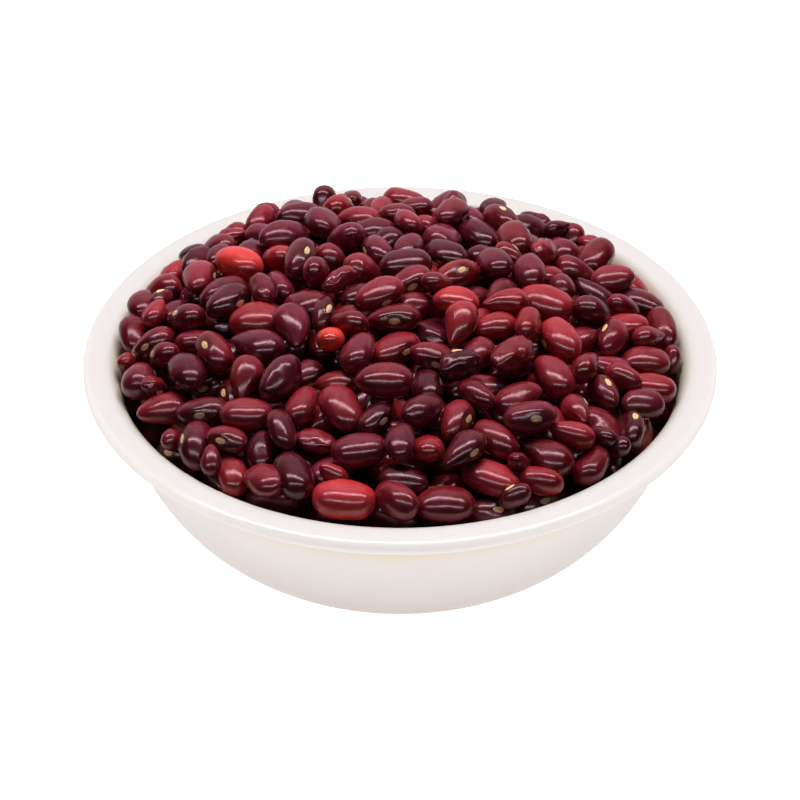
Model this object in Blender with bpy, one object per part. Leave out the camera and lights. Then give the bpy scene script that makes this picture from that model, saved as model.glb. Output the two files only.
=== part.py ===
"""A white glazed bowl heaped with dried red kidney beans, at real size.

Metres, +Z up. The origin is on the table, under the middle of the bowl's foot; -Y is the front.
The bowl is one turned solid. The beans are a second one: a core that fills the bowl, with every
bean that shows on top fused onto it.
"""
import math

import bmesh
import bpy
import numpy as np
from mathutils import Matrix

MM = 0.001

# Bowl
LIP_RADIUS = 82.5 * MM          # outer edge of the rolled lip
BOWL_HEIGHT = 51.6 * MM
LIP_ROLL = 1.9 * MM             # radius of the lip's rounded nose
LIP_TOP_WIDTH = 3.1 * MM        # flat top of the lip, inwards from the middle of its nose
NECK_RADIUS = 75.4 * MM         # outside, where the lip's underside runs into the body
NECK_HEIGHT = 45.3 * MM
MOUTH_RADIUS = 72.9 * MM        # inside, under the lip's shoulder
MOUTH_HEIGHT = 45.0 * MM
FOOT_RADIUS = 40.8 * MM
FOOT_WIDTH = 5.5 * MM
FOOT_RECESS = 1.0 * MM          # the underside inside the foot stands this much off the table
FLOOR_RADIUS = 36.0 * MM
FLOOR_HEIGHT = 4.5 * MM
BOWL_SIDES = 56
WALL_STEPS = 6                  # points along the inner wall, and again along its shoulder

# Points (r, z) that the curves of the bowl's profile are drawn towards
WALL_PULLS = (62.0 * MM, 9.0 * MM), (71.8 * MM, 30.0 * MM)
SHOULDER_PULLS = (73.2 * MM, 50.4 * MM), (75.2 * MM, 51.6 * MM)
FILLET_PULLS = (80.0 * MM, 46.8 * MM), (75.8 * MM, 46.9 * MM)
BODY_PULLS = (73.4 * MM, 37.3 * MM), (68.2 * MM, 6.8 * MM)

# Heap
HEAP_RADIUS = 70.0 * MM         # where the heap's outline is taken to end
EDGE_HEIGHT = 58.5 * MM         # height of that outline over the table
HEAP_RISE = 15.5 * MM           # how far the middle stands above the edge
SLUMP = 2.5 * MM                # the heap is this much lower at one side of its edge
SLUMP_BEARING = 0.0             # that side is on the right
LOOSE_DEPTH = 18.0 * MM         # beans are laid one by one in this depth under the outline
CORE_DEPTH = 7.0 * MM           # the fused core's top lies this far under the outline
CORE_GAP = 0.4 * MM             # between the core and the bowl
CORE_EDGE_DROP = 3.0 * MM       # the core meets the wall this far under its own edge
BEAN_ROOM = 0.7 * MM            # between a bean's outline and the bowl
REACH = 73.0 * MM               # no bean's middle lies further out

# Beans
BEAN_HALF_LENGTH = 6.6 * MM
LENGTH_SPREAD = 0.65 * MM
SHORTEST, LONGEST = 5.0 * MM, 8.0 * MM
WIDTH_SHARE = (0.60, 0.71)      # of the length
THICKNESS_SHARE = (0.52, 0.61)
PROUD = 1.4 * MM                # how far a bean may stand above the outline
FIRST_ROOM = 7.2 * MM           # the first pouring stays this much lower
LIFT_SPREAD, ROLL_SPREAD = 0.22, 0.5    # radians, of the beans that lie along the slope
STEEP_LIFT = (0.5, 1.2)         # radians
STEEP_SHARE = 0.13              # of the beans stand on end or lean far over
ROLLED_SHARE = 0.25             # of the beans lie on an edge
KIDNEY_BEND = 0.10              # of the half length
FACET_ALLOWANCE = 1.035         # a bean with few sides is drawn this much larger, to keep its bulk
SHOWN_AREA = 20.0 * MM * MM      # seen from above, less than this and the bean counts as hidden
SEED = 11

# Beans that stand out in the heap. Across and back from the middle in mm, heading of the long
# axis and how far that end is lifted in degrees, roll about the long axis, length in mm.
STANDING_OUT = (
    (-44, 21, -38, 4, 0, 15.0),      # long bright red one, back left
    (-19, -21, -90, 34, 0, 10.9),    # small round poppy red one
    (-23, 66, 80, 40, 60, 11.4),     # dark pointed one on the skyline
    (-23, 5, -100, 42, 90, 12.3),    # round face
    (-13, 47, -22, 3, 0, 12.8),
    (15, 70, 45, 14, 0, 14.1),       # topmost on the skyline
    (-35, -21, -36, 4, 0, 15.2),     # large one with a pointed end
    (-28, -32, 56, 22, 70, 14.2),    # leaning on end
    (-8, 1, 6, 2, 0, 12.0),
    (3, 13, 10, 0, 0, 14.1),
    (-55, -23, -64, 2, 10, 13.9),
    (-39, -29, 76, 22, 0, 12.9),
    (-14, -34, -4, 4, 30, 10.4),
    (-5, -40, -1, 1, 0, 14.6),       # long one in the middle
    (-62, -33, 8, 6, 0, 13.5),       # against the left rim
    (-36, -41, -8, 4, 0, 13.5),
    (-52, -49, -90, -18, -38, 14.1), # broad face and scar towards the front
    (-11, -57, 9, 4, 0, 13.7),
    (-15, -70, -9, 0, 0, 15.6),      # bright red one on the front rim
    (12, -68, 1, 0, 0, 14.8),        # large one on the front rim
    (40, -26, -58, -14, 0, 13.7),
    (62, -9, 8, -8, 0, 13.5),
    (67, -24, -5, -4, 0, 12.5),      # against the right rim
    (61, 3, 18, -8, 0, 12.5),
    (39, -17, -65, -10, 0, 14.6),    # red one leaning to the front
    (16, -8, -12, -4, 20, 12.0),
    (23, -13, 20, -5, 0, 12.3),
    (29, -25, 45, -2, 0, 14.2),      # wrinkled one
    (37, -51, -34, -12, 0, 14.4),
    (8, -56, -90, 30, 0, 11.9),      # red ball, seen on end
)
NUDGE = 1.5 * MM                # how far such a bean may shift to settle
COVERED_SHARE = 0.12            # no more of a later bean may lie over them

# Height grid on which the beans are laid
CELL = 0.75 * MM
GRID_HALF = 81.0 * MM
SEARCH = 5                      # cells each way that a bean may roll before it rests
SPOTS, TRIES, GIVE_UP = 6, 10, 400

COLOURS = {
    "bowl": ((0.86, 0.82, 0.78, 1.0), 0.22),
    "beans": ((0.105, 0.010, 0.014, 1.0), 0.30),
}


def bezier(a, b, c, d, count):
    """Points (r, z) along a cubic curve."""
    t = np.linspace(0, 1, count)[:, None]
    a, b, c, d = (np.array(p) for p in (a, b, c, d))
    return (1 - t) ** 3 * a + 3 * (1 - t) ** 2 * t * b + 3 * (1 - t) * t * t * c + t**3 * d


def inner_profile():
    """Inside of the bowl from its floor to the top of the lip."""
    mouth = (MOUTH_RADIUS, MOUTH_HEIGHT)
    top = (LIP_RADIUS - LIP_ROLL - LIP_TOP_WIDTH, BOWL_HEIGHT)
    wall = bezier((FLOOR_RADIUS, FLOOR_HEIGHT), *WALL_PULLS, mouth, WALL_STEPS)
    shoulder = bezier(mouth, *SHOULDER_PULLS, top, WALL_STEPS)
    return np.concatenate([wall, shoulder[1:]])


def outer_profile():
    """Outside of the bowl from the top of the lip's nose down to the middle of the underside."""
    angles = np.radians(np.linspace(90, -63, 6))
    centre = np.array((LIP_RADIUS - LIP_ROLL, BOWL_HEIGHT - LIP_ROLL))
    nose = centre + LIP_ROLL * np.stack([np.cos(angles), np.sin(angles)], axis=1)
    neck = (NECK_RADIUS, NECK_HEIGHT)
    fillet = bezier(nose[-1], *FILLET_PULLS, neck, 4)
    body = bezier(neck, *BODY_PULLS, (FOOT_RADIUS, 0), 8)
    ring = FOOT_RADIUS - FOOT_WIDTH
    under = np.array([(ring, 0), (ring - FOOT_RECESS, FOOT_RECESS), (0, FOOT_RECESS)])
    return np.concatenate([nose, fillet[1:], body[1:], under])


def moved_inwards(profile, gap):
    """The inner profile set off towards the hollow by the gap."""
    along = np.gradient(profile, axis=0)
    along /= np.linalg.norm(along, axis=1)[:, None]
    return profile + gap * np.stack([-along[:, 1], along[:, 0]], axis=1)


def turned(name, profile, sides):
    """A closed solid of revolution from a profile of (r, z) points that starts and ends on the axis."""
    bm = bmesh.new()
    verts = [bm.verts.new((r, 0, z)) for r, z in profile]
    edges = [bm.edges.new(pair) for pair in zip(verts, verts[1:])]
    bmesh.ops.spin(bm, geom=verts + edges, cent=(0, 0, 0), axis=(0, 0, 1), angle=2 * math.pi,
                   steps=sides, use_merge=True)
    bmesh.ops.remove_doubles(bm, verts=bm.verts, dist=0.001 * MM)
    bmesh.ops.recalc_face_normals(bm, faces=bm.faces)
    return new_object(name, bm)


def new_object(name, bm):
    mesh = bpy.data.meshes.new(name)
    bm.to_mesh(mesh)
    bm.free()
    thing = bpy.data.objects.new(name, mesh)
    bpy.context.scene.collection.objects.link(thing)
    return thing


def finish(thing, sharp_angle):
    """Smooth shading and the object's own material."""
    colour, roughness = COLOURS[thing.name]
    material = bpy.data.materials.new(thing.name)
    material.use_nodes = True
    shader = material.node_tree.nodes["Principled BSDF"]
    shader.inputs["Base Color"].default_value = colour
    shader.inputs["Roughness"].default_value = roughness
    shader.inputs["Metallic"].default_value = 0.0
    thing.data.materials.append(material)
    thing.data.shade_smooth()
    thing.data.set_sharp_from_angle(angle=math.radians(sharp_angle))


def outline_height(x, y):
    """Height of the heap's outline: a low dome, a little short at one side of its edge."""
    edge = (np.hypot(x, y) / HEAP_RADIUS) ** 2
    side = 0.5 + 0.5 * np.cos(np.arctan2(y, x) - SLUMP_BEARING)
    return EDGE_HEIGHT + HEAP_RISE * (1 - edge) - SLUMP * side * edge**2


def attitude(heading, lift, roll):
    """Turning of a bean: its long axis is X, its scar looks along -Y, its flat side along Z."""
    turn = Matrix.Rotation(heading, 3, "Z") @ Matrix.Rotation(-lift, 3, "Y") @ Matrix.Rotation(roll, 3, "X")
    return np.array(turn)


def surfaces(turn, half):
    """Lower and upper surface of a turned ellipsoid over the grid cells around its centre."""
    form = turn @ np.diag(1 / half**2) @ turn.T
    reach = int(math.ceil(half.max() / CELL))
    step = np.arange(-reach, reach + 1) * CELL
    x, y = np.meshgrid(step, step, indexing="ij")
    tilt = form[0, 2] * x + form[1, 2] * y
    rest = form[0, 0] * x * x + 2 * form[0, 1] * x * y + form[1, 1] * y * y - 1
    inside = tilt * tilt - form[2, 2] * rest
    root = np.sqrt(np.maximum(inside, 0))
    low = np.where(inside > 0, (-tilt - root) / form[2, 2], np.inf)
    high = np.where(inside > 0, (-tilt + root) / form[2, 2], -np.inf)
    return reach, low, high


class Heap:
    """The heap as a height grid, and the beans laid in it so far."""

    def __init__(self):
        count = 2 * round(GRID_HALF / CELL) + 1
        self.axis = np.linspace(-GRID_HALF, GRID_HALF, count)
        self.x, self.y = np.meshgrid(self.axis, self.axis, indexing="ij")
        self.radius = np.hypot(self.x, self.y)
        self.outline = outline_height(self.x, self.y)
        wall = moved_inwards(inner_profile(), BEAN_ROOM)
        wall_height = np.interp(self.radius, wall[:, 0], wall[:, 1])
        self.height = np.maximum(self.outline - LOOSE_DEPTH, wall_height)
        self.owner = np.full(self.height.shape, -1)
        self.beans = []
        self.chosen = np.zeros(self.height.shape, bool)

    def cell(self, x):
        return int(round((x + GRID_HALF) / CELL))

    def resting(self, i, j, turn, half, search):
        """Where the bean comes to rest lowest under the outline, near cell (i, j)."""
        reach, low, high = surfaces(turn, half)
        furthest = len(self.axis) - 1 - reach
        left, right = max(i - search, reach), min(i + search, furthest)
        front, back = max(j - search, reach), min(j + search, furthest)
        patch = self.height[left - reach:right + reach + 1, front - reach:back + reach + 1]
        window = np.lib.stride_tricks.sliding_window_view(patch, low.shape)
        z = (window - low).max((2, 3))
        spots = (slice(left, right + 1), slice(front, back + 1))
        above = z - self.outline[spots] + np.where(self.radius[spots] > REACH, 1.0, 0.0)
        k, m = np.unravel_index(np.argmin(np.round(above, 7)), above.shape)
        return above[k, m], (left + k, front + m, z[k, m], turn, half, reach, high)

    def settle(self, i, j, z, turn, half, reach, high):
        """Adds a bean to the heap at its resting place."""
        spot = (slice(i - reach, i + reach + 1), slice(j - reach, j + reach + 1))
        on_top = z + high > self.height[spot]
        self.height[spot] = np.where(on_top, z + high, self.height[spot])
        self.owner[spot] = np.where(on_top, len(self.beans), self.owner[spot])
        self.beans.append((np.array((self.axis[i], self.axis[j], z)), turn, half))

    def fill(self, rng, room):
        """Drops beans on the deepest spots until no more fit under the outline less the room."""
        failures = 0
        while failures < GIVE_UP:
            bearing = rng.uniform(0, 2 * math.pi, SPOTS)
            distance = REACH * np.sqrt(rng.uniform(0, 1, SPOTS))
            cells = [(self.cell(d * math.cos(b)), self.cell(d * math.sin(b))) for d, b in zip(distance, bearing)]
            i, j = max(cells, key=lambda c: round(float(self.outline[c] - self.height[c]), 7))
            half_length = float(np.clip(rng.normal(BEAN_HALF_LENGTH, LENGTH_SPREAD), SHORTEST, LONGEST))
            half = half_length * np.array((1, rng.uniform(*WIDTH_SHARE), rng.uniform(*THICKNESS_SHARE)))
            manner = rng.uniform()
            options = [self.resting(i, j, turn, half, SEARCH) for turn in self.ways(rng, i, j, manner)]
            _, best = min(options, key=lambda option: round(float(option[0]), 7))
            top = best[2] + best[6].max()
            if top > self.outline[best[0], best[1]] + PROUD - room or self.hides_chosen(*best):
                failures += 1
                continue
            self.settle(*best)
            failures = max(0, failures - 1)

    def hides_chosen(self, i, j, z, turn, half, reach, high):
        spot = (slice(i - reach, i + reach + 1), slice(j - reach, j + reach + 1))
        return self.chosen[spot][high > 0].mean() > COVERED_SHARE

    def ways(self, rng, i, j, manner):
        """Attitudes to try at one spot: most beans lie along the heap's slope."""
        x, y = self.axis[i], self.axis[j]
        downhill = math.atan2(y, x)
        slope = math.atan(2 * HEAP_RISE * math.hypot(x, y) / HEAP_RADIUS**2)
        for _ in range(TRIES):
            heading = rng.uniform(0, 2 * math.pi)
            lift = rng.normal(0, LIFT_SPREAD) - slope * math.cos(heading - downhill)
            roll = rng.normal(0, ROLL_SPREAD) - slope * math.sin(heading - downhill)
            if manner < STEEP_SHARE:
                lift = rng.uniform(*STEEP_LIFT)
            if manner > 1 - ROLLED_SHARE:
                roll = rng.uniform(0, math.pi)
            yield attitude(heading, lift, roll)

    def place_by_hand(self):
        """Lays the beans that stand out, each on what lies under it."""
        for across, back, heading, lift, roll, length in STANDING_OUT:
            turn = attitude(math.radians(heading), math.radians(lift), math.radians(roll))
            half = length * MM / 2 * np.array((1, np.mean(WIDTH_SHARE), np.mean(THICKNESS_SHARE)))
            search = round(NUDGE / CELL)
            _, best = self.resting(self.cell(across * MM), self.cell(back * MM), turn, half, search)
            self.settle(*best)
        self.chosen = self.owner >= len(self.beans) - len(STANDING_OUT)


def heap_of_beans():
    rng = np.random.default_rng(SEED)
    heap = Heap()
    heap.fill(rng, FIRST_ROOM)
    heap.place_by_hand()
    heap.fill(rng, 0)
    return heap


def drawn_clear(points):
    """Points of a bean, drawn in towards the middle of the bowl where one comes too near its wall."""
    wall = moved_inwards(inner_profile(), CORE_GAP)
    room = np.interp(points[:, 2], wall[:, 1], wall[:, 0]) - np.hypot(points[:, 0], points[:, 1])
    middle = points.mean(axis=0) * (1, 1, 0)
    return points + min(room.min(), 0) * middle / np.linalg.norm(middle)


def faceted_bean(name, place, turn, half):
    """A bean with few sides, bent a little to its scar's side."""
    bm = bmesh.new()
    bmesh.ops.create_uvsphere(bm, u_segments=6, v_segments=4, radius=FACET_ALLOWANCE)
    z, y, x = np.array([vert.co for vert in bm.verts]).T
    bent = np.stack([x * half[0], y * half[1] + KIDNEY_BEND * half[0] * (0.5 - x * x), -z * half[2]], axis=1)
    for vert, point in zip(bm.verts, drawn_clear(place + bent @ turn.T)):
        vert.co = point
    bmesh.ops.recalc_face_normals(bm, faces=bm.faces)
    return new_object(name, bm)


def core():
    """What fills the bowl under the beans that show."""
    wall = moved_inwards(inner_profile(), CORE_GAP)
    rings = np.linspace(0, 1, 6)[:-1] * REACH
    top = np.stack([rings, outline_height(rings, 0 * rings) - CORE_DEPTH], axis=1)
    wall = wall[wall[:, 1] < top[-1, 1] - CORE_EDGE_DROP]
    floor = (0, FLOOR_HEIGHT + CORE_GAP)
    return turned("beans", np.concatenate([[floor], wall, top[::-1]]), BOWL_SIDES)


def outer_shell(thing):
    """Keeps the largest shell of a mesh: drops loose scraps and fills sealed hollows."""
    bm = bmesh.new()
    bm.from_mesh(thing.data)
    bmesh.ops.triangulate(bm, faces=bm.faces)
    bmesh.ops.remove_doubles(bm, verts=bm.verts, dist=0.02 * MM)
    bmesh.ops.dissolve_degenerate(bm, edges=bm.edges, dist=0.01 * MM)
    left = set(bm.faces)
    shells = []
    while left:
        shell, frontier = set(), [left.pop()]
        while frontier:
            face = frontier.pop()
            shell.add(face)
            near = [other for edge in face.edges for other in edge.link_faces if other in left]
            left.difference_update(near)
            frontier.extend(near)
        shells.append(shell)
    keep = max(shells, key=len)
    bmesh.ops.delete(bm, geom=[face for face in bm.faces if face not in keep], context="FACES")
    bm.to_mesh(thing.data)
    bm.free()


def fused_beans():
    heap = heap_of_beans()
    shown = np.bincount(heap.owner[heap.owner >= 0], minlength=len(heap.beans)) * CELL * CELL
    loose = bpy.data.collections.new("loose beans")
    for number, bean in enumerate(heap.beans):
        if shown[number] > SHOWN_AREA:
            loose.objects.link(faceted_bean(f"bean_{number}", *bean))
    thing = core()
    union = thing.modifiers.new("fuse", "BOOLEAN")
    union.operation = "UNION"
    union.operand_type = "COLLECTION"
    union.collection = loose
    union.solver = "EXACT"
    fused = bpy.data.meshes.new_from_object(thing.evaluated_get(bpy.context.evaluated_depsgraph_get()))
    thing.modifiers.remove(union)
    thing.data = fused
    for bean in list(loose.objects):
        bpy.data.objects.remove(bean)
    bpy.data.collections.remove(loose)
    outer_shell(thing)
    return thing


for old in list(bpy.data.objects):
    bpy.data.objects.remove(old)

bowl_profile = np.concatenate([[(0, FLOOR_HEIGHT)], inner_profile(), outer_profile()])
bowl = turned("bowl", bowl_profile, BOWL_SIDES)
finish(bowl, 40)

beans = fused_beans()
finish(beans, 60)
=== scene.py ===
import math

import bpy
import numpy as np
from mathutils import Matrix, Vector


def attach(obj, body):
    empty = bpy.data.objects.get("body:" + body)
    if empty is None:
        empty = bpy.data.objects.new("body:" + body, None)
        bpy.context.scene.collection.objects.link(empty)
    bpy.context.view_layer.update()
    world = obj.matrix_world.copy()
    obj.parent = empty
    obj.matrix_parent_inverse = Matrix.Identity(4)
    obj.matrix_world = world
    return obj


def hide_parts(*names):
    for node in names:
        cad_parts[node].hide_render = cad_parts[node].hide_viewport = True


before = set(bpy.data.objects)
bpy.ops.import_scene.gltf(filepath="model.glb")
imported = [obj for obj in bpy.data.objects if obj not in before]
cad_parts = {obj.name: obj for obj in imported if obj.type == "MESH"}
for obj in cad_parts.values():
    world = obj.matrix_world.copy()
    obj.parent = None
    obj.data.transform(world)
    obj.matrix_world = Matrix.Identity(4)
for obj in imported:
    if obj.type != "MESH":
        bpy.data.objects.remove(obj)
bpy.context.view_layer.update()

# The bowl
# A round bowl in a fine white body, turned with a rolled lip and a low foot ring. It is dipped in a
# clear gloss glaze and fired standing on the foot ring, which is wiped bare.
MM = 0.001
LIP_RADIUS = 82.5 * MM
BOWL_HEIGHT = 51.6 * MM
LIP_ROLL = 1.9 * MM
LIP_TOP_WIDTH = 3.1 * MM
NECK_RADIUS = 75.4 * MM
NECK_HEIGHT = 45.3 * MM
MOUTH_RADIUS = 72.9 * MM
MOUTH_HEIGHT = 45.0 * MM
FOOT_RADIUS = 40.8 * MM
FOOT_WIDTH = 5.5 * MM
FOOT_RECESS = 1.0 * MM
FOOT_ROUNDING = 0.5 * MM
FLOOR_RADIUS = 36.0 * MM
FLOOR_HEIGHT = 4.5 * MM
BOWL_TURNS, INNER_STEPS, OUTER_STEPS = 160, 18, 16
NOSE_START, NOSE_END = 90, -63      # degrees round the roll of the lip, from its top to its underside
MERGE = 0.001 * MM

# Points (r, z) that the curves of the bowl's profile are drawn towards
WALL_PULLS = (62.0 * MM, 9.0 * MM), (71.8 * MM, 30.0 * MM)
SHOULDER_PULLS = (73.2 * MM, 50.4 * MM), (75.2 * MM, 51.6 * MM)
FILLET_PULLS = (80.0 * MM, 46.8 * MM), (75.8 * MM, 46.9 * MM)
BODY_PULLS = (73.4 * MM, 37.3 * MM), (68.2 * MM, 6.8 * MM)


def bezier(a, b, c, d, count):
    """Points (r, z) along a cubic curve."""
    t = np.linspace(0, 1, count)[:, None]
    a, b, c, d = (np.array(p) for p in (a, b, c, d))
    return (1 - t) ** 3 * a + 3 * (1 - t) ** 2 * t * b + 3 * (1 - t) * t * t * c + t**3 * d


def inner_profile(steps):
    """Inside of the bowl from its floor to the top of the lip."""
    mouth = (MOUTH_RADIUS, MOUTH_HEIGHT)
    top = (LIP_RADIUS - LIP_ROLL - LIP_TOP_WIDTH, BOWL_HEIGHT)
    wall = bezier((FLOOR_RADIUS, FLOOR_HEIGHT), *WALL_PULLS, mouth, steps)
    shoulder = bezier(mouth, *SHOULDER_PULLS, top, steps)
    return np.concatenate([wall, shoulder[1:]])


def outer_profile(steps):
    """Outside of the bowl from the nose of the lip to the middle of the underside."""
    angles = np.radians(np.linspace(NOSE_START, NOSE_END, steps))
    centre = np.array((LIP_RADIUS - LIP_ROLL, BOWL_HEIGHT - LIP_ROLL))
    nose = centre + LIP_ROLL * np.stack([np.cos(angles), np.sin(angles)], axis=1)
    neck = (NECK_RADIUS, NECK_HEIGHT)
    fillet = bezier(nose[-1], *FILLET_PULLS, neck, steps // 2)
    body = bezier(neck, *BODY_PULLS, (FOOT_RADIUS + FOOT_ROUNDING, 0.3 * FOOT_ROUNDING), 2 * steps)
    ring = FOOT_RADIUS - FOOT_WIDTH
    under = [(FOOT_RADIUS - FOOT_ROUNDING, 0), (ring + FOOT_ROUNDING, 0), (ring, FOOT_ROUNDING / 2),
             (ring - FOOT_RECESS, FOOT_RECESS), (ring / 2, FOOT_RECESS), (0, FOOT_RECESS)]
    return np.concatenate([nose, fillet[1:], body[1:], np.array(under)])


def turned(name, profile, turns):
    """A solid of revolution, spun in edit mode from a profile that starts and ends on the axis."""
    mesh = bpy.data.meshes.new(name)
    mesh.from_pydata([(r, 0, z) for r, z in profile], [(k, k + 1) for k in range(len(profile) - 1)], [])
    thing = bpy.data.objects.new(name, mesh)
    bpy.context.collection.objects.link(thing)
    bpy.ops.object.select_all(action="DESELECT")
    bpy.context.view_layer.objects.active = thing
    thing.select_set(True)
    bpy.ops.object.mode_set(mode="EDIT")
    bpy.ops.mesh.select_all(action="SELECT")
    bpy.ops.mesh.spin(steps=turns, angle=2 * math.pi, center=(0, 0, 0), axis=(0, 0, 1))
    bpy.ops.mesh.select_all(action="SELECT")
    bpy.ops.mesh.remove_doubles(threshold=MERGE)
    bpy.ops.mesh.normals_make_consistent(inside=False)
    bpy.ops.object.mode_set(mode="OBJECT")
    bpy.ops.object.shade_smooth()
    return thing


def put(tree, kind, sockets=(), **settings):
    """Adds a node. Sockets are given as values, or as the output sockets that feed them."""
    made = tree.nodes.new(kind)
    for name, value in settings.items():
        setattr(made, name, value)
    for key, value in dict(sockets).items():
        if isinstance(value, bpy.types.NodeSocket):
            tree.links.new(value, made.inputs[key])
        else:
            made.inputs[key].default_value = value
    return made


def figure(tree, operation, *values):
    """A Math node's result."""
    return put(tree, "ShaderNodeMath", enumerate(values), operation=operation).outputs[0]


def times(tree, a, b):
    return figure(tree, "MULTIPLY", a, b)


def plus(tree, a, b):
    return figure(tree, "ADD", a, b)


def rest_of(tree, share):
    """What a share leaves of 1."""
    return figure(tree, "SUBTRACT", 1.0, share)


def ramp(tree, value, low, high):
    """0 where the value is at the low mark, 1 at the high mark, eased between."""
    sockets = {"Value": value, "From Min": low, "From Max": high}
    return put(tree, "ShaderNodeMapRange", sockets, interpolation_type="SMOOTHSTEP").outputs[0]


def blended(tree, share, a, b, way="MIX"):
    """Two colours mixed by a share."""
    return put(tree, "ShaderNodeMix", {0: share, 6: a, 7: b}, data_type="RGBA", blend_type=way).outputs[2]


def noise(tree, place, scale, detail=2.0):
    """Noise of the given scale per metre, around 0.5."""
    sockets = {"Vector": place, "Scale": scale, "Detail": detail, "Roughness": 0.55}
    return put(tree, "ShaderNodeTexNoise", sockets).outputs[0]


def new_material(name, **constants):
    """A material with a Principled shader, whose plain values are set on its own sockets."""
    material = bpy.data.materials.new(name)
    material.use_nodes = True
    shader = material.node_tree.nodes["Principled BSDF"]
    for key, value in constants.items():
        shader.inputs[key.replace("_", " ")].default_value = value
    return material, material.node_tree, shader


profile = np.concatenate([[(0, FLOOR_HEIGHT)], inner_profile(INNER_STEPS), outer_profile(OUTER_STEPS)])
bowl = turned("glazed_bowl", profile, BOWL_TURNS)

GLAZE_WHITE = (0.835, 0.793, 0.774, 1)
GLAZE_BODY = (0.775, 0.732, 0.708, 1)
# Cream of the lower body, partly a real tint and partly painted shade.
GLAZE_CREAM_AND_SHADE = (0.790, 0.712, 0.645, 1)
# Warm tone of the painted shade under the lip and on the inner wall; the real specks take it too.
GLAZE_SHADE_AND_SPECK = (0.740, 0.650, 0.490, 1)
BARE_BODY = (0.600, 0.560, 0.500, 1)
CREAM_AND_SHADE_TO = (0.0, 34.0 * MM)             # heights between which a tint sets in or fades out
BODY_TO = (41.0 * MM, 47.5 * MM)
UNDER_LIP_SHADE_FROM = (38.0 * MM, 42.5 * MM)
UNDER_LIP_SHADE_TO = (45.5 * MM, 48.0 * MM)
INNER_SHADE_FROM = (40.0 * MM, 44.0 * MM)
BARE_TO = (0.15 * MM, 0.45 * MM)
INNER_WALL = (73.5 * MM, 76.5 * MM)     # from the bowl's axis
UNDER_LIP = (81.5 * MM, 83.5 * MM)      # from the middle of the foot
UNDER_LIP_SHADE_SHARE, INNER_SHADE_SHARE, SPECK_SHARE = 0.6, 0.8, 0.25
SPECK_MARKS = (0.71, 0.76)

glaze, tree, shader = new_material("bowl_glaze", IOR=1.5, Coat_Roughness=0.20, Coat_Weight=0.30)
place = put(tree, "ShaderNodeTexCoord").outputs["Object"]
height = put(tree, "ShaderNodeSeparateXYZ", {0: place}).outputs["Z"]
from_foot = put(tree, "ShaderNodeVectorMath", {0: place}, operation="LENGTH").outputs["Value"]
level = put(tree, "ShaderNodeVectorMath", {0: place, 1: (1, 1, 0)}, operation="MULTIPLY").outputs[0]
from_axis = put(tree, "ShaderNodeVectorMath", {0: level}, operation="LENGTH").outputs["Value"]
clouds = noise(tree, place, 28, 3)
specks = noise(tree, place, 1600, 1)

# The glaze is whitest on the lip, and cloudy and creamier towards the foot, partly painted shade. Under the
# lip and on the inner wall it is darker and warm, painted shade, with a painted reflection of the beans on
# the inner wall. It has a few specks, and is wiped off the foot ring.
# Creamier and darker towards the foot: partly a real tint, partly painted shade of the lower body.
cream = times(tree, rest_of(tree, ramp(tree, height, *CREAM_AND_SHADE_TO)), plus(tree, 0.45, clouds))
# A darker warm band under the lip, outside only: painted shade of the lip's underside.
under_lip_shade = times(tree, ramp(tree, height, *UNDER_LIP_SHADE_FROM), rest_of(tree, ramp(tree, height, *UNDER_LIP_SHADE_TO)))
under_lip_shade = times(tree, under_lip_shade, ramp(tree, from_foot, *UNDER_LIP))
# The inner wall just above the beans, darker and warm: painted shade with a painted reflection of the
# beans.
inside = times(tree, rest_of(tree, ramp(tree, from_axis, *INNER_WALL)), ramp(tree, height, *INNER_SHADE_FROM))
bare = rest_of(tree, ramp(tree, height, *BARE_TO))
colour = blended(tree, rest_of(tree, ramp(tree, height, *BODY_TO)), GLAZE_WHITE, GLAZE_BODY)
colour = blended(tree, cream, colour, GLAZE_CREAM_AND_SHADE)
colour = blended(tree, times(tree, under_lip_shade, UNDER_LIP_SHADE_SHARE), colour, GLAZE_SHADE_AND_SPECK)
colour = blended(tree, times(tree, inside, INNER_SHADE_SHARE), colour, GLAZE_SHADE_AND_SPECK)
colour = blended(tree, times(tree, ramp(tree, specks, *SPECK_MARKS), SPECK_SHARE), colour, GLAZE_SHADE_AND_SPECK)
colour = blended(tree, bare, colour, BARE_BODY)
tree.links.new(colour, shader.inputs["Base Color"])
gloss = plus(tree, 0.28, times(tree, clouds, 0.12))
tree.links.new(plus(tree, gloss, times(tree, bare, 0.5)), shader.inputs["Roughness"])
waves = plus(tree, noise(tree, place, 45, 1), times(tree, specks, 0.02))
bump = put(tree, "ShaderNodeBump", {"Strength": 0.25, "Distance": 0.6 * MM, "Height": waves})
tree.links.new(bump.outputs[0], shader.inputs["Normal"])
bowl.data.materials.append(glaze)
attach(bowl, "root")
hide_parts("bowl")

# How the beans lie
# The beans were poured in loose and came to rest on each other and on the bowl. Each is laid where it
# rests lowest on a height grid, from a low floor up to a dome a little short at one side. Small ones
# then slip into gaps at the wall.
HEAP_RADIUS = 70.0 * MM
EDGE_HEIGHT = 58.5 * MM
HEAP_RISE = 15.5 * MM
SLUMP = 2.5 * MM
SLUMP_BEARING = 0.0
LOOSE_DEPTH = 18.0 * MM
BEAN_ROOM = 0.7 * MM
REACH = 73.0 * MM
WALL_STEPS = 6
BEAN_HALF_LENGTH = 6.6 * MM
LENGTH_SPREAD = 0.65 * MM
SHORTEST, LONGEST = 5.0 * MM, 8.0 * MM
WIDTH_SHARE = (0.60, 0.71)
THICKNESS_SHARE = (0.52, 0.61)
MIDDLE_SHARES = np.array((1, np.mean(WIDTH_SHARE), np.mean(THICKNESS_SHARE)))
PROUD = 1.4 * MM
FIRST_ROOM = 7.2 * MM           # the first pouring stays this much lower
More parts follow.
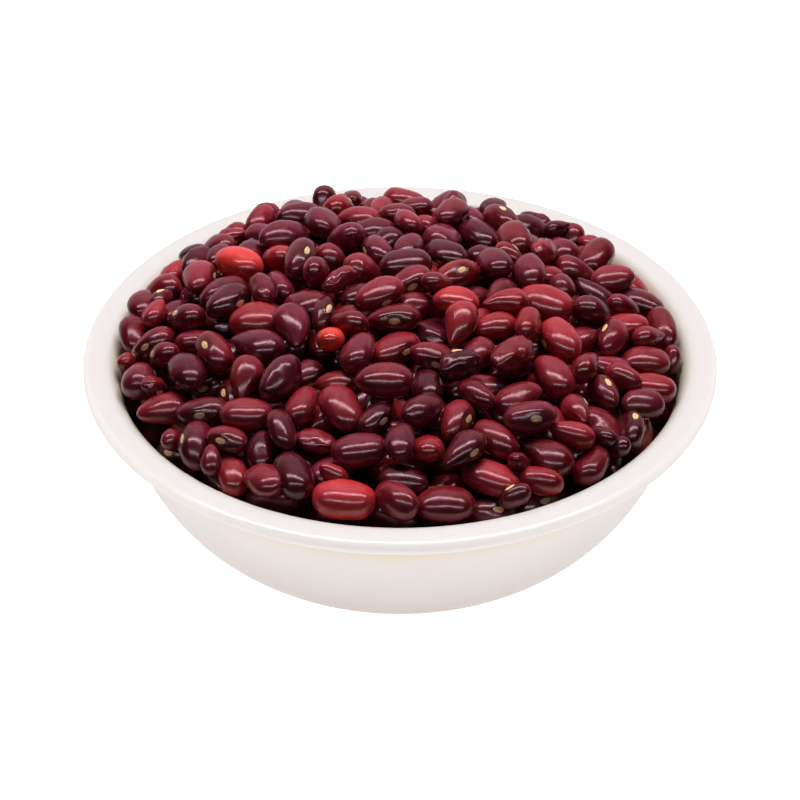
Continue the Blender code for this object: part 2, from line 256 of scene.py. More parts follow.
LIFT_SPREAD, ROLL_SPREAD = 0.22, 0.5    # radians, of the beans that lie along the slope
STEEP_LIFT = (0.5, 1.2)
STEEP_SHARE = 0.13
ROLLED_SHARE = 0.25
SEED = 11
NUDGE = 1.5 * MM
COVERED_SHARE = 0.12
CELL = 0.75 * MM
GRID_HALF = 81.0 * MM
SEARCH = 5
SPOTS, TRIES, GIVE_UP = 6, 10, 400
OUT_OF_REACH = 1.0              # added to a resting height past the reach, so that no bean is laid there
DIGITS = 7                      # of heights that are compared, so that ties fall the same way in each run
GAP_ROUNDS, GAP_BEARINGS, GAP_TRIES, GAP_SEARCH = 2, 96, 36, 1
GAP_ZONE = (64.0 * MM, 72.5 * MM)
GAP_DEPTH = 5.0 * MM
GAP_HALF_LENGTH = (4.0 * MM, 5.6 * MM)
GAP_LIFT = (-1.0, 1.0)

# Beans that stand out in the heap. Across and back from the middle in mm, heading of the long axis and
# how far that end is lifted in degrees, roll about the long axis, length in mm, colour, form and whether
# the side with the scar or the back is seen.
STANDING_OUT = (
    (-44, 21, -38, 4, 0, 15.0, "scarlet", "long", "back"),
    (-19, -21, -90, 34, 0, 10.9, "poppy", "plump", "back"),
    (-23, 66, 80, 40, 60, 11.4, "dark", "pointed", "back"),
    (-23, 5, -100, 42, 90, 12.3, "wine", "plump", "back"),
    (-13, 47, -22, 3, 0, 12.8, "wine", "egg", "back"),
    (15, 70, 45, 14, 0, 14.1, "dark", "plump", "back"),
    (-35, -21, -36, 4, 0, 15.2, "dark", "pointed", "back"),
    (-28, -32, 56, 22, 70, 14.2, "dark", "kidney", "scar"),
    (-8, 1, 6, 2, 0, 12.0, "dark", "plump", "back"),
    (3, 13, 10, 0, 0, 14.1, "dark", "barrel", "scar"),
    (-55, -23, -64, 2, 10, 13.9, "dark", "kidney", "back"),
    (-39, -29, 76, 22, 0, 12.9, "wine", "pointed", "back"),
    (-14, -34, -4, 4, 30, 10.4, "red", "egg", "back"),
    (-5, -40, -1, 1, 0, 14.6, "wine", "long", "back"),
    (-62, -33, 8, 6, 0, 13.5, "wine", "egg", "back"),
    (-36, -41, -8, 4, 0, 13.5, "wine", "barrel", "back"),
    (-52, -49, -90, -18, -38, 14.1, "dark", "kidney", "scar"),
    (-11, -57, 9, 4, 0, 13.7, "dark", "barrel", "back"),
    (-15, -70, -9, 0, 0, 15.6, "crimson", "barrel", "back"),
    (12, -68, 1, 0, 0, 14.8, "wine", "plump", "back"),
    (40, -26, -58, -14, 0, 13.7, "wine", "long", "back"),
    (62, -9, 8, -8, 0, 13.5, "wine", "plump", "back"),
    (67, -24, -5, -4, 0, 12.5, "red", "barrel", "back"),
    (61, 3, 18, -8, 0, 12.5, "red", "barrel", "back"),
    (39, -17, -65, -10, 0, 14.6, "red", "kidney", "scar"),
    (16, -8, -12, -4, 20, 12.0, "crimson", "long", "back"),
    (23, -13, 20, -5, 0, 12.3, "red", "egg", "back"),
    (29, -25, 45, -2, 0, 14.2, "wine", "wrinkled", "back"),
    (37, -51, -34, -12, 0, 14.4, "wine", "pointed", "back"),
    (8, -56, -90, 30, 0, 11.9, "red", "plump", "back"),
)


def moved_inwards(profile, gap):
    """The inner profile set off towards the hollow by the gap."""
    along = np.gradient(profile, axis=0)
    along /= np.linalg.norm(along, axis=1)[:, None]
    return profile + gap * np.stack([-along[:, 1], along[:, 0]], axis=1)


def outline_height(x, y):
    """Height of the heap's outline: a low dome, a little short at one side of its edge."""
    edge = (np.hypot(x, y) / HEAP_RADIUS) ** 2
    side = 0.5 + 0.5 * np.cos(np.arctan2(y, x) - SLUMP_BEARING)
    return EDGE_HEIGHT + HEAP_RISE * (1 - edge) - SLUMP * side * edge**2


def attitude(heading, lift, roll):
    """Turning of a bean: its long axis is X, its scar looks along -Y, its flat side along Z."""
    turn = Matrix.Rotation(heading, 3, "Z") @ Matrix.Rotation(-lift, 3, "Y") @ Matrix.Rotation(roll, 3, "X")
    return np.array(turn)


def surfaces(turn, half):
    """Lower and upper surface of a turned ellipsoid over the grid cells around its centre."""
    form = turn @ np.diag(1 / half**2) @ turn.T
    reach = int(math.ceil(half.max() / CELL))
    step = np.arange(-reach, reach + 1) * CELL
    x, y = np.meshgrid(step, step, indexing="ij")
    tilt = form[0, 2] * x + form[1, 2] * y
    rest = form[0, 0] * x * x + 2 * form[0, 1] * x * y + form[1, 1] * y * y - 1
    inside = tilt * tilt - form[2, 2] * rest
    root = np.sqrt(np.maximum(inside, 0))
    low = np.where(inside > 0, (-tilt - root) / form[2, 2], np.inf)
    high = np.where(inside > 0, (-tilt + root) / form[2, 2], -np.inf)
    return reach, low, high


class Heap:
    """The heap as a height grid, and the beans laid in it so far."""

    def __init__(self):
        count = 2 * round(GRID_HALF / CELL) + 1
        self.axis = np.linspace(-GRID_HALF, GRID_HALF, count)
        self.x, self.y = np.meshgrid(self.axis, self.axis, indexing="ij")
        self.radius = np.hypot(self.x, self.y)
        self.outline = outline_height(self.x, self.y)
        wall = moved_inwards(inner_profile(WALL_STEPS), BEAN_ROOM)
        wall_height = np.interp(self.radius, wall[:, 0], wall[:, 1])
        self.height = np.maximum(self.outline - LOOSE_DEPTH, wall_height)
        self.owner = np.full(self.height.shape, -1)
        self.beans = []
        self.chosen = np.zeros(self.height.shape, bool)

    def cell(self, x):
        return int(round((x + GRID_HALF) / CELL))

    def resting(self, i, j, turn, half, search):
        """Where the bean comes to rest lowest under the outline, near cell (i, j)."""
        reach, low, high = surfaces(turn, half)
        furthest = len(self.axis) - 1 - reach
        left, right = max(i - search, reach), min(i + search, furthest)
        front, back = max(j - search, reach), min(j + search, furthest)
        patch = self.height[left - reach:right + reach + 1, front - reach:back + reach + 1]
        window = np.lib.stride_tricks.sliding_window_view(patch, low.shape)
        z = (window - low).max((2, 3))
        spots = (slice(left, right + 1), slice(front, back + 1))
        above = z - self.outline[spots] + np.where(self.radius[spots] > REACH, OUT_OF_REACH, 0.0)
        k, m = np.unravel_index(np.argmin(np.round(above, DIGITS)), above.shape)
        return above[k, m], (left + k, front + m, z[k, m], turn, half, reach, high)

    def settle(self, i, j, z, turn, half, reach, high):
        """Adds a bean to the heap at its resting place."""
        spot = (slice(i - reach, i + reach + 1), slice(j - reach, j + reach + 1))
        on_top = z + high > self.height[spot]
        self.height[spot] = np.where(on_top, z + high, self.height[spot])
        self.owner[spot] = np.where(on_top, len(self.beans), self.owner[spot])
        self.beans.append((np.array((self.axis[i], self.axis[j], z)), turn, half))

    def deepest(self, spots):
        """Of some spots, given as distance and bearing, the cell with most room under the outline."""
        cells = [(self.cell(d * math.cos(b)), self.cell(d * math.sin(b))) for d, b in spots]
        return max(cells, key=lambda c: round(float(self.outline[c] - self.height[c]), DIGITS))

    def lowest(self, i, j, tries, search):
        """Of some attitudes and sizes, the one that comes to rest lowest under the outline."""
        options = [self.resting(i, j, turn, half, search) for turn, half in tries]
        return min(options, key=lambda option: round(float(option[0]), DIGITS))[1]

    def has_room(self, i, j, z, turn, half, reach, high, room=0):
        """Whether a bean stays under the outline less the room, and hides none of the listed beans."""
        spot = (slice(i - reach, i + reach + 1), slice(j - reach, j + reach + 1))
        covered = self.chosen[spot][high > 0].mean()
        return z + high.max() <= self.outline[i, j] + PROUD - room and covered <= COVERED_SHARE

    def fill(self, rng, room):
        """Drops beans on the deepest spots until no more fit under the outline less the room."""
        failures = 0
        while failures < GIVE_UP:
            bearing = rng.uniform(0, 2 * math.pi, SPOTS)
            distance = REACH * np.sqrt(rng.uniform(0, 1, SPOTS))
            i, j = self.deepest(zip(distance, bearing))
            half_length = float(np.clip(rng.normal(BEAN_HALF_LENGTH, LENGTH_SPREAD), SHORTEST, LONGEST))
            half = half_length * np.array((1, rng.uniform(*WIDTH_SHARE), rng.uniform(*THICKNESS_SHARE)))
            manner = rng.uniform()
            best = self.lowest(i, j, ((turn, half) for turn in self.ways(rng, i, j, manner)), SEARCH)
            if self.has_room(*best, room):
                self.settle(*best)
                failures = max(0, failures - 1)
            else:
                failures += 1

    def fill_gaps(self, rng):
        """Small beans that slipped down between the others and the wall."""
        for bearing in rng.permutation(GAP_BEARINGS) * 2 * math.pi / GAP_BEARINGS:
            i, j = self.deepest((distance, bearing) for distance in np.arange(*GAP_ZONE, CELL))
            if self.outline[i, j] - self.height[i, j] < GAP_DEPTH:
                continue
            best = self.lowest(i, j, self.any_ways(rng, bearing), GAP_SEARCH)
            if self.has_room(*best):
                self.settle(*best)

    def any_ways(self, rng, bearing):
        """Sizes and attitudes of small beans to try in a gap."""
        for _ in range(GAP_TRIES):
            half = rng.uniform(*GAP_HALF_LENGTH) * MIDDLE_SHARES
            heading = bearing + rng.uniform(0, math.pi)
            lift = rng.uniform(*GAP_LIFT)
            roll = rng.uniform(0, math.pi)
            yield attitude(heading, lift, roll), half

    def ways(self, rng, i, j, manner):
        """Attitudes to try at one spot: most beans lie along the heap's slope."""
        x, y = self.axis[i], self.axis[j]
        downhill = math.atan2(y, x)
        slope = math.atan(2 * HEAP_RISE * math.hypot(x, y) / HEAP_RADIUS**2)
        for _ in range(TRIES):
            heading = rng.uniform(0, 2 * math.pi)
            lift = rng.normal(0, LIFT_SPREAD) - slope * math.cos(heading - downhill)
            roll = rng.normal(0, ROLL_SPREAD) - slope * math.sin(heading - downhill)
            if manner < STEEP_SHARE:
                lift = rng.uniform(*STEEP_LIFT)
            if manner > 1 - ROLLED_SHARE:
                roll = rng.uniform(0, math.pi)
            yield attitude(heading, lift, roll)

    def place_by_hand(self):
        """Lays the beans that stand out, each on what lies under it."""
        self.first_chosen = len(self.beans)
        for across, back, heading, lift, roll, length, *_ in STANDING_OUT:
            turn = attitude(math.radians(heading), math.radians(lift), math.radians(roll))
            half = length * MM / 2 * MIDDLE_SHARES
            search = round(NUDGE / CELL)
            _, best = self.resting(self.cell(across * MM), self.cell(back * MM), turn, half, search)
            self.settle(*best)
        self.chosen = self.owner >= self.first_chosen


rng = np.random.default_rng(SEED)
heap = Heap()
heap.fill(rng, FIRST_ROOM)
heap.place_by_hand()
heap.fill(rng, 0)
for _ in range(GAP_ROUNDS):
    heap.fill_gaps(rng)

# The forms of bean
# Dried kidney beans are seldom alike: long, plump, blunt, pointed at one end, dented or wrinkled. Each
# form is shaped once, from a sphere with its poles along X, and has the scar of its stalk at -Y.
FORMS = {
    # name: (bend in degrees, taper, squareness, unevenness, size of the unevenness)
    "kidney": (82, 0.10, 0.12, 0.10, 0.7),
    "plump": (36, 0.12, 0.05, 0.10, 0.8),
    "long": (56, 0.20, 0.14, 0.09, 0.6),
    "pointed": (40, 0.80, 0.00, 0.10, 0.7),
    "barrel": (34, 0.06, 0.30, 0.08, 0.7),
    "egg": (36, 0.48, 0.04, 0.10, 0.8),
    "dented": (50, 0.20, 0.10, 0.24, 0.6),
    "wrinkled": (44, 0.20, 0.06, 0.28, 0.36),
}
BEAN_SEGMENTS, BEAN_RINGS = 12, 8
BEAN_WIDTH, BEAN_THICKNESS = 0.675, 0.59    # of the length, while a form is shaped
SCAR_REACH, SCAR_HALF_LENGTH = 0.9, 0.35    # of the faces that sink in, out to the side and along the bean
SCAR_INSET, SCAR_SHORTER, SCAR_SINK = 0.055, 0.78, 0.035
APART = 7.3     # between the places in the clouds that make the forms uneven


def select_faces(thing, wanted):
    """Leaves only the faces selected whose centre passes the test."""
    bpy.ops.object.mode_set(mode="EDIT")
    bpy.ops.mesh.select_mode(type="FACE")
    bpy.ops.mesh.select_all(action="DESELECT")
    bpy.ops.object.mode_set(mode="OBJECT")
    for face in thing.data.polygons:
        face.select = wanted(face.center)
    bpy.ops.object.mode_set(mode="EDIT")


def apply_modifier(thing, kind, **settings):
    """Adds a modifier and applies it."""
    modifier = thing.modifiers.new(kind.lower(), kind)
    for name, value in settings.items():
        setattr(modifier, name, value)
    bpy.context.view_layer.objects.active = thing
    bpy.ops.object.modifier_apply(modifier=modifier.name)


def shape_bean(name, number, bend, taper, squareness, unevenness, grain):
    """One form of bean, two units long, with its own vertex places kept to fit any size."""
    bpy.ops.object.select_all(action="DESELECT")
    bpy.ops.mesh.primitive_uv_sphere_add(segments=BEAN_SEGMENTS, ring_count=BEAN_RINGS, radius=1)
    bean = bpy.context.object
    bean.name = name
    bpy.ops.object.mode_set(mode="EDIT")
    bpy.ops.mesh.select_all(action="SELECT")
    bpy.ops.transform.rotate(value=math.pi / 2, orient_axis="Y", center_override=(0, 0, 0))
    bpy.ops.transform.resize(value=(1, BEAN_WIDTH, BEAN_THICKNESS), center_override=(0, 0, 0))
    bpy.ops.object.mode_set(mode="OBJECT")
    if squareness:
        apply_modifier(bean, "CAST", cast_type="CUBOID", factor=squareness)
    select_faces(bean, lambda c: c.y < -SCAR_REACH * BEAN_WIDTH and abs(c.x) < SCAR_HALF_LENGTH)
    bpy.ops.mesh.inset(thickness=SCAR_INSET, depth=0.0)
    bpy.ops.transform.resize(value=(SCAR_SHORTER, 1, 1), center_override=(0, -BEAN_WIDTH, 0))
    bpy.ops.transform.translate(value=(0, SCAR_SINK, 0))
    bpy.ops.object.mode_set(mode="OBJECT")
    apply_modifier(bean, "SUBSURF", levels=1, render_levels=1)
    texture = bpy.data.textures.new(name, "CLOUDS")
    texture.noise_scale = grain
    bean.location = (APART * number, 0, 0)
    bpy.context.view_layer.update()
    apply_modifier(bean, "DISPLACE", texture=texture, texture_coords="GLOBAL", strength=unevenness,
                   mid_level=0.5)
    bean.location = (0, 0, 0)
    bpy.data.textures.remove(texture)
    if taper:
        apply_modifier(bean, "SIMPLE_DEFORM", deform_method="TAPER", deform_axis="X", factor=taper)
    apply_modifier(bean, "SIMPLE_DEFORM", deform_method="BEND", deform_axis="Z", angle=math.radians(bend))
    bpy.ops.object.shade_smooth()
    return bean


def true_to_box(bean):
    """Centres a form and scales it to a box two units each way, so that it fits any half sizes."""
    corners = np.array([corner[:] for corner in bean.bound_box])
    low, high = corners.min(axis=0), corners.max(axis=0)
    bean.data.transform(Matrix.Diagonal((*(2 / (high - low)), 1)) @ Matrix.Translation(-(low + high) / 2))


forms = {}
for number, (name, how) in enumerate(FORMS.items()):
    forms[name] = shape_bean("form_" + name, number, *how)
    true_to_box(forms[name])

# The loose beans
# Red kidney beans of mixed age: most are a dark maroon, many wine red, some red and a few scarlet. The
# skin is thin, waxy and glossy, with a cream scar in a dark ring on the hollow side.
COLOURS = {
    # name: (share of the beans, deep colour, pale colour)
    "dark": (0.48, (0.060, 0.0022, 0.0056, 1), (0.174, 0.0120, 0.0225, 1)),
    "wine": (0.39, (0.124, 0.0036, 0.0074, 1), (0.262, 0.0155, 0.0265, 1)),
    "red": (0.13, (0.230, 0.0055, 0.0095, 1), (0.372, 0.0220, 0.0310, 1)),
    "crimson": (0.00, (0.330, 0.0095, 0.0125, 1), (0.510, 0.0300, 0.0360, 1)),
    "scarlet": (0.00, (0.560, 0.0240, 0.0220, 1), (0.790, 0.0720, 0.0620, 1)),
    "poppy": (0.00, (0.590, 0.0240, 0.0120, 1), (0.820, 0.0620, 0.0340, 1)),
}
FORM_SHARES = (0.17, 0.20, 0.14, 0.11, 0.14, 0.13, 0.08, 0.03)
TURNED_OVER = 0.35      # of the beans whose scar would look to the front lie the other way round
SCAR_CREAM = (0.960, 0.700, 0.400, 1)
SCAR_TAN = (0.740, 0.400, 0.170, 1)
SCAR_DARK = (0.020, 0.0040, 0.0030, 1)
SLIT_BROWN = (0.22, 0.11, 0.05, 1)
SCAR_HALF = (1.45 * MM, 0.82 * MM)
SCAR_MARKS = {
    # name: where it starts to fade and where it ends, in half sizes of the scar
    "Scar": (0.90, 1.00),
    "Middle": (0.40, 0.95),
    "Ring": (1.08, 1.32),
    "Shade": (1.60, 4.20),
}
SLIT_LENGTH, SLIT_WIDTH = (0.5, 0.8), (0.05, 0.22)
SCAR_SIDE = (1.0 * MM, 2.0 * MM)        # the scar is this far out on the side at -Y
SCAR_WOBBLE = 0.35
LINES_DRAWN = (0.22, 1.0, 1.0)          # the fine lines run along the bean
RIM_LIMIT = 73.6 * MM
MOST_DRAWN_IN = 3.0 * MM


def give_out(group, **masks):
    """Puts masks out of a node group under their names."""
    for name in masks:
        group.interface.new_socket(name, in_out="OUTPUT", socket_type="NodeSocketFloat")
    out = group.nodes.new("NodeGroupOutput")
    for name, mask in masks.items():
        group.links.new(mask, out.inputs[name])


def scar_group():
    """Where a bean has its cream scar, its slit and the dark ring round it, from the bean's own places."""
    group = bpy.data.node_groups.new("bean_scar", "ShaderNodeTree")
    own = put(group, "ShaderNodeAttribute", attribute_name="own").outputs["Vector"]
    split = put(group, "ShaderNodeSeparateXYZ", {0: own}).outputs
    wobble = times(group, figure(group, "SUBTRACT", noise(group, own, 900, 1), 0.5), SCAR_WOBBLE)
    across = figure(group, "DIVIDE", split["X"], SCAR_HALF[0])
    up = figure(group, "DIVIDE", split["Z"], SCAR_HALF[1])
    away = figure(group, "SQRT", plus(group, times(group, across, across), times(group, up, up)))
    away = plus(group, away, wobble)
    near_side = ramp(group, times(group, split["Y"], -1.0), *SCAR_SIDE)

    def within(low, high):
        return times(group, rest_of(group, ramp(group, away, low, high)), near_side)

    thin = rest_of(group, ramp(group, figure(group, "ABSOLUTE", up), *SLIT_WIDTH))
    give_out(group, Slit=times(group, within(*SLIT_LENGTH), thin),
             **{name: within(*marks) for name, marks in SCAR_MARKS.items()})


def skin_group():
    """Mottling, fine lines along the bean and wear of the skin, different on each bean."""
    group = bpy.data.node_groups.new("bean_skin", "ShaderNodeTree")
    own = put(group, "ShaderNodeAttribute", attribute_name="own").outputs["Vector"]
    lot = put(group, "ShaderNodeAttribute", attribute_name="lot").outputs["Fac"]
    apart = put(group, "ShaderNodeCombineXYZ", {0: lot, 1: lot}).outputs[0]
    place = put(group, "ShaderNodeVectorMath", {0: own, 1: apart}, operation="ADD").outputs[0]
    drawn = put(group, "ShaderNodeMapping", {"Vector": place, "Scale": LINES_DRAWN}).outputs[0]
    give_out(group, Mottle=noise(group, place, 190, 3), Lines=noise(group, drawn, 1500, 2),
             Wear=noise(group, place, 420, 2))


def bean_skin(name, deep, pale):
    """The waxy skin in one colour."""
    material, tree, shader = new_material(
        name, IOR=1.5, Specular_Tint=(1.0, 0.80, 0.85, 1), Coat_Weight=0.20, Coat_Roughness=0.22,
        Coat_IOR=1.5, Sheen_Weight=0.025, Sheen_Roughness=0.3, Sheen_Tint=(1.0, 0.72, 0.74, 1))
    scar = put(tree, "ShaderNodeGroup", node_tree=bpy.data.node_groups["bean_scar"]).outputs
    skin = put(tree, "ShaderNodeGroup", node_tree=bpy.data.node_groups["bean_skin"]).outputs
    tone = put(tree, "ShaderNodeAttribute", attribute_name="tone").outputs["Fac"]
    shade = plus(tree, tone, times(tree, figure(tree, "SUBTRACT", skin["Mottle"], 0.5), 1.1))
    lines = times(tree, ramp(tree, skin["Lines"], 0.50, 0.72), 0.30)
    cream = blended(tree, scar["Middle"], SCAR_TAN, SCAR_CREAM)
    cream = blended(tree, times(tree, skin["Wear"], 0.4), cream, SCAR_TAN)
    colour = blended(tree, ramp(tree, shade, 0.0, 1.0), deep, pale)
    colour = blended(tree, lines, colour, deep)
    colour = blended(tree, times(tree, scar["Shade"], 0.45), colour, SCAR_DARK)
    colour = blended(tree, times(tree, scar["Ring"], 0.6), colour, SCAR_DARK)
    colour = blended(tree, scar["Scar"], colour, cream)
    colour = blended(tree, times(tree, scar["Slit"], 0.55), colour, SLIT_BROWN)
    tree.links.new(colour, shader.inputs["Base Color"])
    rough = plus(tree, 0.13, times(tree, skin["Wear"], 0.18))
    rough = plus(tree, rough, times(tree, scar["Scar"], 0.35))
    tree.links.new(rough, shader.inputs["Roughness"])
    relief = plus(tree, skin["Wear"], times(tree, skin["Lines"], 0.16))
    relief = figure(tree, "SUBTRACT", relief, times(tree, scar["Ring"], 1.2))
    relief = plus(tree, relief, times(tree, scar["Scar"], 1.6))
    bump = put(tree, "ShaderNodeBump", {"Strength": 0.42, "Distance": 0.16 * MM, "Height": relief})
    tree.links.new(bump.outputs[0], shader.inputs["Normal"])
    return material


def drawn_in(middle, turn, half):
    """The middle of a bean, moved towards the bowl's axis where the bean would hang over the lip."""
    outwards = middle * (1, 1, 0) / np.hypot(*middle[:2])
    over = np.hypot(*middle[:2]) + np.linalg.norm(half * (turn.T @ outwards)) - RIM_LIMIT
    return middle - outwards * np.clip(over, 0, MOST_DRAWN_IN)


def laid_bean(form, middle, turn, half, tone, lot):
    """A copy of a form at a bean's size and place, with what its skin needs to know."""
    mesh = form.data.copy()
    mesh.transform(Matrix.Diagonal((*half, 1)))
    own = mesh.attributes.new("own", "FLOAT_VECTOR", "POINT")
    places = np.empty(3 * len(mesh.vertices), np.float32)
    mesh.vertices.foreach_get("co", places)
    own.data.foreach_set("vector", places)
    for name, value in (("tone", tone), ("lot", lot)):
        mesh.attributes.new(name, "FLOAT", "POINT").data.foreach_set("value", [value] * len(mesh.vertices))
    mesh.transform(Matrix.Translation(middle) @ Matrix(turn).to_4x4())
    copy = bpy.data.objects.new("bean", mesh)
    bpy.context.collection.objects.link(copy)
    return copy


scar_group()
skin_group()
rng = np.random.default_rng(SEED + 1)
names, shares = list(COLOURS), [share for share, _, _ in COLOURS.values()]
kinds = {name: [] for name in names}
for number, (middle, turn, half) in enumerate(heap.beans):
    colour_name, form_name = rng.choice(names, p=shares), rng.choice(list(forms), p=FORM_SHARES)
    tone, lot = rng.uniform(0.1, 0.9), rng.uniform(0, 1)
    turned_over = rng.uniform() < TURNED_OVER
    chosen = number - heap.first_chosen
    middle = drawn_in(middle, turn, half)
    if 0 <= chosen < len(STANDING_OUT):
        colour_name, form_name, side = STANDING_OUT[chosen][6:]
        turned_over = side == "back"
    if turned_over and turn[1, 1] > 0:
        turn = turn @ np.diag((1, -1, -1))
    kinds[colour_name].append(laid_bean(forms[form_name], middle, turn, half, tone, lot))
loose_beans = []
for colour_name, copies in kinds.items():
    bpy.ops.object.select_all(action="DESELECT")
    for copy in copies:
        copy.select_set(True)
    bpy.context.view_layer.objects.active = copies[0]
    bpy.ops.object.join()
    lot_of_beans = bpy.context.object
    lot_of_beans.name = "beans_" + colour_name
    lot_of_beans.data.materials.append(bean_skin("skin_" + colour_name, *COLOURS[colour_name][1:]))
    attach(lot_of_beans, "root")
    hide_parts("beans")
    loose_beans.append(lot_of_beans)
for form in forms.values():
    bpy.data.objects.remove(form)

# The beans underneath
# Deeper in the heap only dark hollows and the backs of more beans are seen. A lumpy core, near-black red
# and darker than the loose beans' skins, fills the bowl under the loose beans: painted shade for the beans
# and hollows deep in the heap.
CORE_DEPTH = 14.0 * MM
CORE_GAP = 0.5 * MM
CORE_RADIUS = 69.0 * MM
CORE_EDGE_RISE = 4.0 * MM               # higher near the wall, over this stretch of the radius
CORE_EDGE_START, CORE_EDGE_WIDTH = 58.0 * MM, 8.0 * MM
CORE_WALL_STEPS, CORE_RINGS, CORE_TURNS = 14, 30, 96
CORE_BEVEL = 1.5 * MM
LUMP_SIZE, LUMP_DEPTH = 11.0 * MM, 4.0 * MM
LUMPS_ABOVE, LUMPS_WITHIN = 0.035, 0.067    # height and radius, clear of the bowl's wall
CELL_SCALE, CELL_MARKS = 110.0, (0.1, 0.6)
# Near-black reds of the painted shade deep in the heap.
SHADED_HOLLOW_PALE = (0.070, 0.0032, 0.0045, 1)
SHADED_HOLLOW_DEEP = (0.016, 0.0012, 0.0012, 1)

wall = moved_inwards(inner_profile(CORE_WALL_STEPS), CORE_GAP)
rings = np.linspace(0, CORE_RADIUS, CORE_RINGS)
rise = CORE_EDGE_RISE * np.clip((rings - CORE_EDGE_START) / CORE_EDGE_WIDTH, 0, 1)
top = np.stack([rings, outline_height(rings, 0 * rings) - CORE_DEPTH + rise], axis=1)
wall = wall[wall[:, 1] < top[-1, 1] - CORE_BEVEL]
profile = np.concatenate([[(0, FLOOR_HEIGHT + CORE_GAP)], wall, top[::-1]])
shaded_core = turned("beans_underneath", profile, CORE_TURNS)
lumps = bpy.data.textures.new("lumps", "VORONOI")
lumps.noise_scale = LUMP_SIZE
upper = [v.index for v in shaded_core.data.vertices if v.co.z > LUMPS_ABOVE and v.co.xy.length < LUMPS_WITHIN]
shaded_core.vertex_groups.new(name="top").add(upper, 1.0, "REPLACE")
apply_modifier(shaded_core, "DISPLACE", texture=lumps, texture_coords="LOCAL", strength=-LUMP_DEPTH, mid_level=0.3,
               vertex_group="top", direction="Z")
bpy.data.textures.remove(lumps)
# Its skin is painted shade: near-black red cells, darker at their edges, for the shaded beans deep in the
# heap.
under, tree, shader = new_material("shade_underneath", IOR=1.3, Specular_IOR_Level=0.05)
place = put(tree, "ShaderNodeTexCoord").outputs["Object"]
cells = put(tree, "ShaderNodeTexVoronoi", {"Vector": place, "Scale": CELL_SCALE}).outputs["Distance"]
colour = blended(tree, ramp(tree, cells, *CELL_MARKS), SHADED_HOLLOW_PALE, SHADED_HOLLOW_DEEP)
tree.links.new(colour, shader.inputs["Base Color"])
rough = plus(tree, 0.35, times(tree, noise(tree, place, 300), 0.3))
tree.links.new(rough, shader.inputs["Roughness"])
shaded_core.data.materials.append(under)
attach(shaded_core, "root")
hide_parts("beans")

# Floor, light and camera
# A plain pale sweep under soft studio light. The white bowl and the dark beans have lamps of their own,
# kept apart by light linking. Wide lamps give the light and leave no reflection, long strips give the
# streaks, and polished surfaces also mirror a room that is bright behind.
FLOOR_PALE, FLOOR_GLOW = (0.60, 0.595, 0.59, 1), (1.0, 0.99, 0.98, 1)
ROOM = (0.024, 0.022, 0.021, 1)
MIRRORED_FRONT, MIRRORED_BACK = (0.012, 0.008, 0.008, 1), (0.62, 0.52, 0.58, 1)
BACK_FROM = (0.26, 0.60)
LAMPS_AROUND = 0.05     # height of the middle that the lamps are aimed at
STREAK_PINK = (1.0, 0.84, 0.90)

bpy.ops.object.select_all(action="DESELECT")
bpy.ops.mesh.primitive_plane_add(size=6)
floor = bpy.context.object
floor.name = "floor"
pale, _, _ = new_material("pale_floor", Base_Color=FLOOR_PALE, Roughness=0.8, Specular_IOR_Level=0.2,
                          Emission_Color=FLOOR_GLOW, Emission_Strength=0.88)
floor.data.materials.append(pale)
floor.visible_glossy = False

world = bpy.data.worlds.new("studio")
bpy.context.scene.world = world
world.use_nodes = True
tree = world.node_tree
direction = put(tree, "ShaderNodeTexCoord").outputs["Generated"]
split = put(tree, "ShaderNodeSeparateXYZ", {0: direction}).outputs
mirrored = blended(tree, ramp(tree, split["Y"], *BACK_FROM), MIRRORED_FRONT, MIRRORED_BACK)
glossy = put(tree, "ShaderNodeLightPath").outputs["Is Glossy Ray"]
tree.links.new(blended(tree, glossy, ROOM, mirrored), tree.nodes["Background"].inputs["Color"])


def receivers(name, *things):
    """The pieces that a light is kept for."""
    group = bpy.data.collections.new(name)
    for thing in things:
        group.objects.link(thing)
    return group


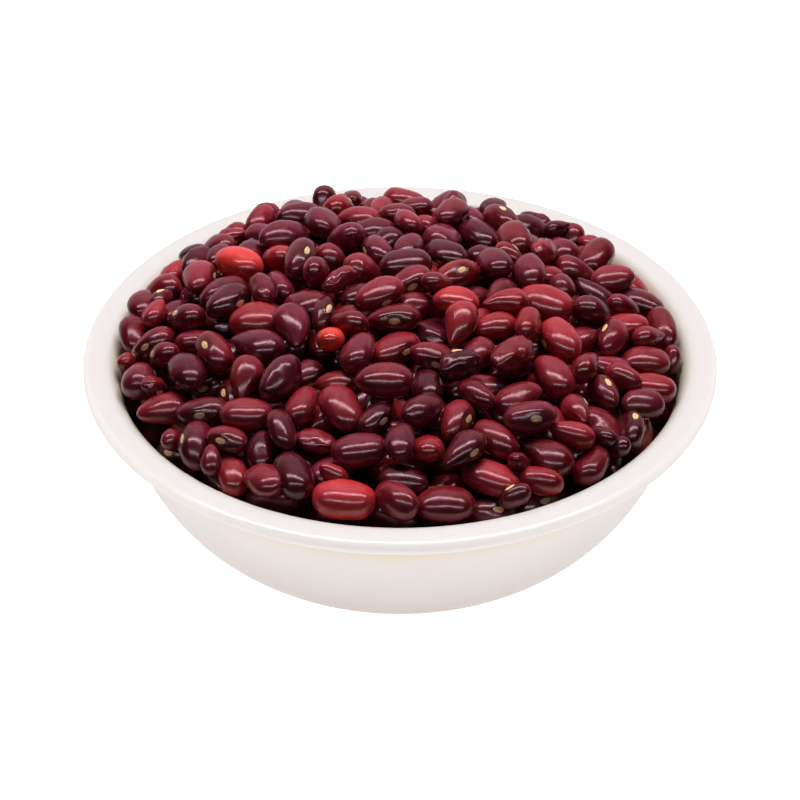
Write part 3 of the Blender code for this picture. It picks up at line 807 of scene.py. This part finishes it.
def panel(name, elevation, distance, size, power, seen_in, kept_for=None, bearing=0):
    """A light panel aimed at the bowl. Elevations are counted from the front, over the top to the back, and
    bearings from the front round to the right."""
    light = bpy.data.lights.new(name, "AREA")
    light.shape = "RECTANGLE"
    light.size, light.size_y = size
    light.energy = power
    lamp = bpy.data.objects.new(name, light)
    bpy.context.collection.objects.link(lamp)
    angle, swing = math.radians(elevation), math.radians(bearing)
    place = Vector((0, -distance * math.cos(angle), LAMPS_AROUND + distance * math.sin(angle)))
    lamp.location = Matrix.Rotation(swing, 3, "Z") @ place
    lamp.rotation_euler = (math.pi / 2 - angle, 0, swing)
    lamp.visible_glossy = seen_in == "glossy"
    lamp.visible_diffuse = seen_in == "diffuse"
    if kept_for:
        lamp.light_linking.receiver_collection = kept_for
    return lamp


for_bowl = receivers("lit_as_bowl", bowl)
for_beans = receivers("lit_as_beans", floor, shaded_core, *loose_beans)
floor.light_linking.receiver_collection = for_bowl
panel("bowl_top", 100, 0.9, (0.8, 0.6), 9.8, "diffuse", for_bowl)
panel("bowl_left", 8, 0.9, (1.2, 0.24), 3.9, "diffuse", for_bowl, -65)
panel("bowl_right", 8, 0.9, (1.2, 0.24), 3.9, "diffuse", for_bowl, 65)
panel("softbox", 121, 0.9, (0.7, 0.42), 14.6, "diffuse", for_beans)
panel("front_fill", 18, 0.9, (1.6, 0.20), 0.42, "diffuse")
panel("bowl_strip", 92, 1.0, (1.9, 0.12), 8.0, "glossy", for_bowl)
for strip in (panel("strip_above", 92, 1.0, (1.9, 0.13), 13.0, "glossy", for_beans),
              panel("strip_front", 43, 1.0, (1.9, 0.05), 5.8, "glossy", for_beans)):
    strip.data.color = STREAK_PINK

CAMERA_AIM = (0, 0, 33.74 * MM)
CAMERA_DISTANCE = 0.600
CAMERA_ELEVATION = math.radians(35.82)
LENS, SENSOR = 101.5, 36
camera = bpy.data.objects.new("camera", bpy.data.cameras.new("camera"))
bpy.context.collection.objects.link(camera)
camera.data.lens, camera.data.sensor_width = LENS, SENSOR
camera.location = (0, -CAMERA_DISTANCE * math.cos(CAMERA_ELEVATION),
                   CAMERA_AIM[2] + CAMERA_DISTANCE * math.sin(CAMERA_ELEVATION))
camera.rotation_euler = (math.pi / 2 - CAMERA_ELEVATION, 0, 0)
bpy.context.scene.camera = camera
bpy.context.scene.view_settings.view_transform = "Standard"
